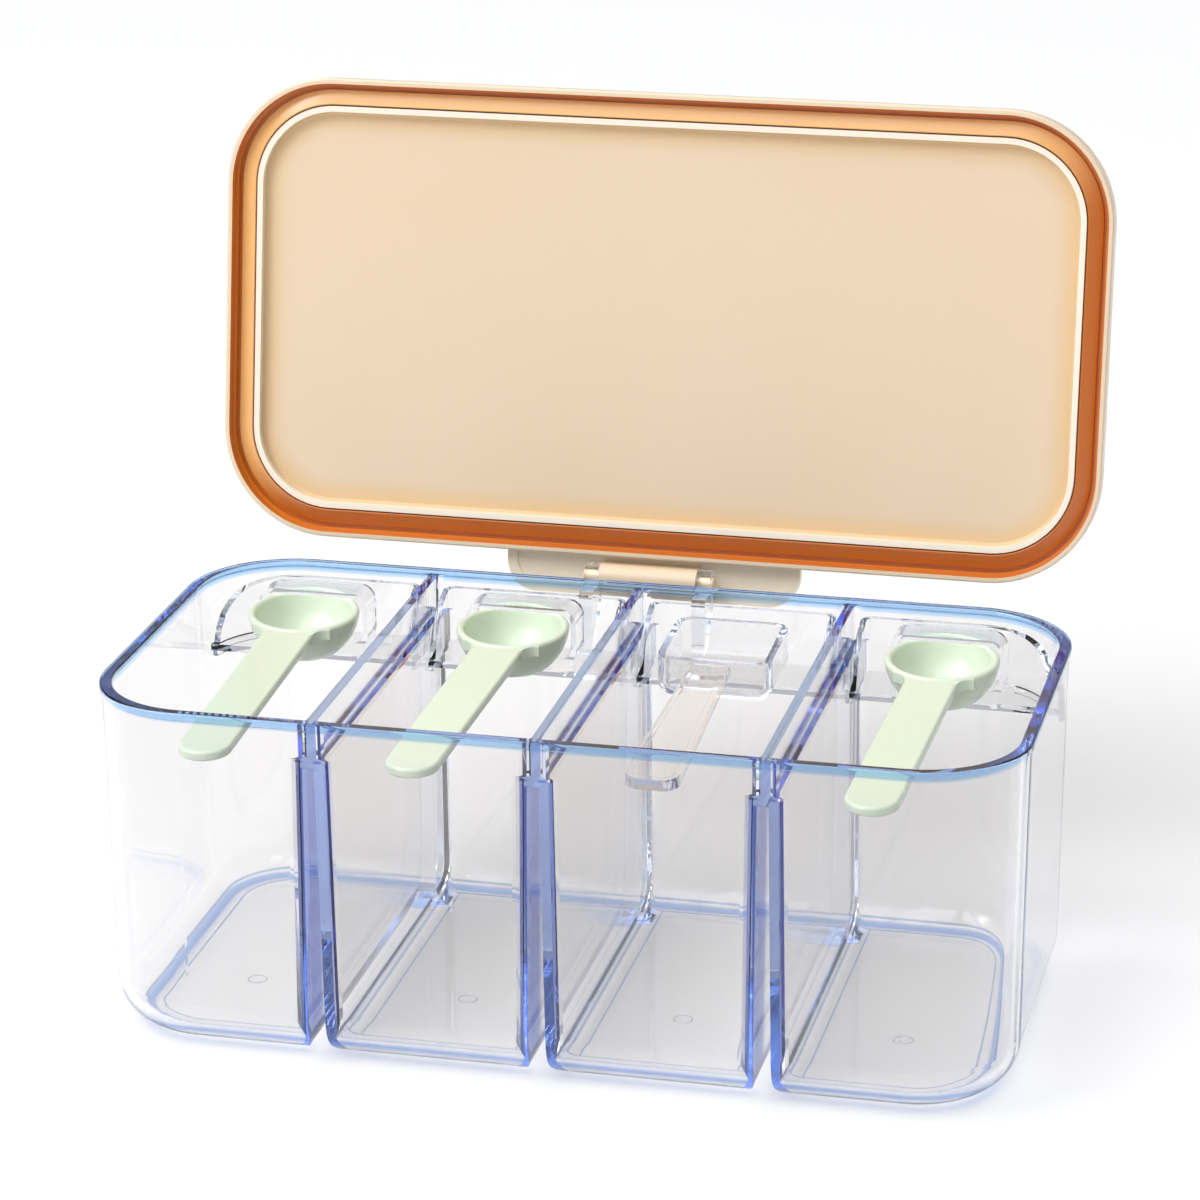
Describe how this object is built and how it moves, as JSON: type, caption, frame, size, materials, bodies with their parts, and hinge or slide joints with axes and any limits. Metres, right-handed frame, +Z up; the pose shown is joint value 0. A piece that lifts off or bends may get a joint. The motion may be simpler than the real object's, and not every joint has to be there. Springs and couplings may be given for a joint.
{
  "type": "condiment caddy",
  "caption": "Clear condiment caddy with side-by-side cups, spoon rests, loose measuring spoons and a hinged flip lid with a seal ring.",
  "frame": {"origin": "bottom centre of the bounding box of the part as it stands with its lid open, on the plane of the tub's base", "axes": "+X along the row of cups, to the right seen from the front; +Y to the back, where the lid is hinged; +Z up"},
  "size_m": [0.2616, 0.1694, 0.2382],
  "materials": {
    "clear_tub": "polished clear plastic with bluish edges",
    "clear_rest": "polished clear plastic",
    "clear_spoon": "polished clear plastic",
    "cream_lid": "satin",
    "amber_seal": "smooth silicone",
    "green_spoon": "satin"
  },
  "bodies": {
    "tub": {"tub": "clear_tub", "spoon_rest_1": "clear_rest", "spoon_rest_2": "clear_rest", "spoon_rest_3": "clear_rest", "spoon_rest_4": "clear_rest"},
    "lid": {"lid": "cream_lid", "lid_seal": "amber_seal"},
    "spoon_1": {"spoon_1": "green_spoon"},
    "spoon_2": {"spoon_2": "green_spoon"},
    "spoon_3": {"spoon_3": "clear_spoon"},
    "spoon_4": {"spoon_4": "green_spoon"}
  },
  "joints": [
    {"name": "lid_hinge", "type": "hinge", "parent": "tub", "child": "lid", "pos_m": [0, 0.0553, 0.098], "axis": [1, 0, 0], "range_deg": [0, 99]},
    {"name": "spoon_1_lift", "type": "slide", "parent": "tub", "child": "spoon_1", "axis": [0, 0, 1], "range_m": [0, 0.15]},
    {"name": "spoon_2_lift", "type": "slide", "parent": "tub", "child": "spoon_2", "axis": [0, 0, 1], "range_m": [0, 0.15]},
    {"name": "spoon_3_lift", "type": "slide", "parent": "tub", "child": "spoon_3", "axis": [0, 0, 1], "range_m": [0, 0.15]},
    {"name": "spoon_4_lift", "type": "slide", "parent": "tub", "child": "spoon_4", "axis": [0, 0, 1], "range_m": [0, 0.15]}
  ]
}
